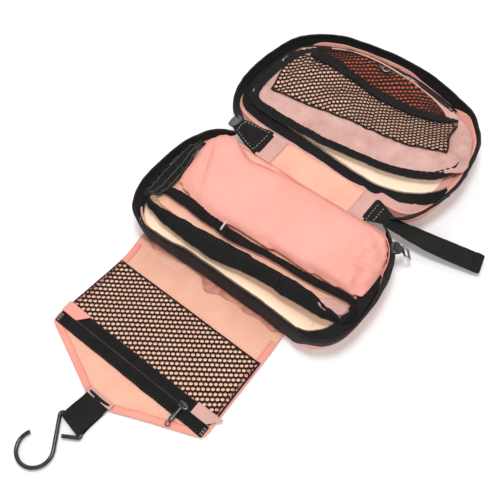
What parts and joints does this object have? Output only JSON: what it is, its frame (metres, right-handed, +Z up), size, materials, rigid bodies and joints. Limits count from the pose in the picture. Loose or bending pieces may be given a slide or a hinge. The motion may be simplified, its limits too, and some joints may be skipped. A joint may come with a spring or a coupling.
{
  "type": "hanging toiletry bag",
  "caption": "Fold-out hanging toiletry bag: hook flap with mesh pocket, two zipped trays with inner lids, fabric spine and wrist strap.",
  "frame": {"origin": "centre of the middle tray's underside, on the surface the bag lies on", "axes": "+X along the long side of the trays, to the right seen from the hook end; +Y from the hook end to the upper tray; +Z up, out of the open trays"},
  "size_m": [0.2992, 0.5153, 0.034],
  "materials": {
    "shell_pink": "plain-weave nylon, soft sheen",
    "lining_peach": "plain-weave polyester lining",
    "hem_pink": "folded fabric binding",
    "patch_grey_pink": "wrinkled reinforced nylon",
    "lining_cream": "smooth coated lining",
    "pocket_pink": "soft padded nylon",
    "zip_tape_black": "woven herringbone tape",
    "zip_coil_black": "nylon coil teeth",
    "webbing_black": "ribbed webbing",
    "elastic_black": "ruched elastic binding",
    "mesh_black": "open diamond net",
    "thread_white": "bar tack thread",
    "slider_black": "black painted zinc and steel wire",
    "wire_silver": "bright plated wire"
  },
  "bodies": {
    "mid_tray": {"mid_back": "shell_pink", "mid_inner_tape": "zip_tape_black", "mid_lining": "lining_cream", "mid_wall": "shell_pink", "mid_zip_coil": "zip_coil_black", "mid_zip_tape": "zip_tape_black"},
    "mid_lid": {"mid_lid_panel": "pocket_pink", "mid_lid_tape": "zip_tape_black", "mid_slip_pocket": "pocket_pink", "mid_pocket_elastic": "elastic_black", "mid_bartack": "thread_white"},
    "mid_zip_slider": {"mid_slider": "slider_black"},
    "mid_zip_puller": {"mid_puller": "slider_black"},
    "main_zip_slider": {"main_slider": "slider_black"},
    "main_zip_puller": {"main_puller_tape": "webbing_black", "main_puller_ring": "wire_silver"},
    "spine": {"spine_panel": "lining_peach", "spine_patches": "patch_grey_pink", "zip_end_tab": "webbing_black", "strap_root": "webbing_black"},
    "strap": {"wrist_strap": "webbing_black"},
    "upper_tray": {"upper_back": "shell_pink", "upper_wall": "shell_pink", "upper_lining": "lining_cream", "upper_zip_tape": "zip_tape_black", "upper_zip_coil": "zip_coil_black", "upper_gusset": "lining_peach", "upper_inner_tape": "zip_tape_black"},
    "upper_lid": {"upper_lid_panel": "patch_grey_pink", "upper_lid_tape": "zip_tape_black", "upper_mesh_pocket": "mesh_black", "upper_mesh_elastic": "elastic_black", "upper_mesh_window": "mesh_black"},
    "upper_zip_slider": {"upper_slider": "slider_black"},
    "upper_zip_ring": {"upper_ring_puller": "wire_silver"},
    "flap": {"flap_hem": "hem_pink", "flap_lining": "lining_peach", "flap_mesh_pocket": "mesh_black", "flap_panel": "shell_pink", "flap_zip_coil": "zip_coil_black", "flap_zip_tab_left": "shell_pink", "flap_zip_tab_right": "shell_pink", "flap_zip_tape_lower": "zip_tape_black", "flap_zip_tape_upper": "zip_tape_black"},
    "flap_zip_slider": {"flap_slider": "slider_black"},
    "flap_zip_puller": {"flap_puller": "slider_black", "flap_puller_ring": "slider_black"},
    "loop": {"hook_loop": "webbing_black"},
    "hook": {"wire_hook": "slider_black"}
  },
  "joints": [
    {"name": "spine_fold", "type": "hinge", "parent": "mid_tray", "child": "spine", "pos_m": [0, 0.067, 0.018], "axis": [1, 0, 0], "range_deg": [0, 90]},
    {"name": "upper_fold", "type": "hinge", "parent": "spine", "child": "upper_tray", "pos_m": [0, 0.095, 0.018], "axis": [1, 0, 0], "range_deg": [0, 90]},
    {"name": "mid_lid_open", "type": "hinge", "parent": "mid_tray", "child": "mid_lid", "pos_m": [0, 0.065, 0.02], "axis": [1, 0, 0], "range_deg": [-90, 0]},
    {"name": "upper_lid_open", "type": "hinge", "parent": "upper_tray", "child": "upper_lid", "pos_m": [0.1034, 0.162, 0.0242], "axis": [0, -1, 0], "range_deg": [-100, 0]},
    {"name": "flap_fold", "type": "hinge", "parent": "mid_tray", "child": "flap", "pos_m": [0, -0.067, 0], "axis": [1, 0, 0], "range_deg": [0, 176]},
    {"name": "loop_fold", "type": "hinge", "parent": "flap", "child": "loop", "pos_m": [-0.008, -0.2042, 0.0012], "axis": [1, 0, 0], "range_deg": [-35, 20]},
    {"name": "hook_swing", "type": "hinge", "parent": "loop", "child": "hook", "pos_m": [-0.0145, -0.2305, 0.0034], "axis": [0.9816, -0.1908, 0], "range_deg": [-75, 75]},
    {"name": "flap_zip", "type": "slide", "parent": "flap", "child": "flap_zip_slider", "axis": [1, 0, 0], "range_m": [-0.112, 0]},
    {"name": "flap_puller_swing", "type": "hinge", "parent": "flap_zip_slider", "child": "flap_zip_puller", "pos_m": [0.048, -0.1634, 0.0065], "axis": [1, 0, 0], "range_deg": [-75, 0]},
    {"name": "mid_zip", "type": "slide", "parent": "mid_tray", "child": "mid_zip_slider", "axis": [0, 1, 0], "range_m": [-0.035, 0]},
    {"name": "mid_puller_swing", "type": "hinge", "parent": "mid_zip_slider", "child": "mid_zip_puller", "pos_m": [-0.1117, 0.0206, 0.0234], "axis": [1, 0, 0], "range_deg": [-140, 0]},
    {"name": "upper_zip", "type": "slide", "parent": "upper_tray", "child": "upper_zip_slider", "axis": [1, 0, 0], "range_m": [-0.05, 0.05]},
    {"name": "upper_ring_swing", "type": "hinge", "parent": "upper_zip_slider", "child": "upper_zip_ring", "pos_m": [-0.014, 0.2217, 0.0244], "axis": [1, 0, 0], "range_deg": [0, 85]},
    {"name": "main_zip", "type": "hinge", "parent": "mid_tray", "child": "main_zip_slider", "pos_m": [0.077, 0.027, 0.027], "axis": [0, 0, 1], "range_deg": [-45, 0]},
    {"name": "main_puller_swing", "type": "hinge", "parent": "main_zip_slider", "child": "main_zip_puller", "pos_m": [0.11108, 0.06108, 0.0274], "axis": [-0.7071, 0.7071, 0], "range_deg": [-45, 35]},
    {"name": "strap_swing", "type": "hinge", "parent": "spine", "child": "strap", "pos_m": [0.086, 0.081, 0.0154], "axis": [-0.1908, 0.9816, 0], "range_deg": [-60, 60]}
  ],
  "couplings": [
    {"joint": "upper_fold", "follows": "spine_fold", "ratio": 1}
  ]
}
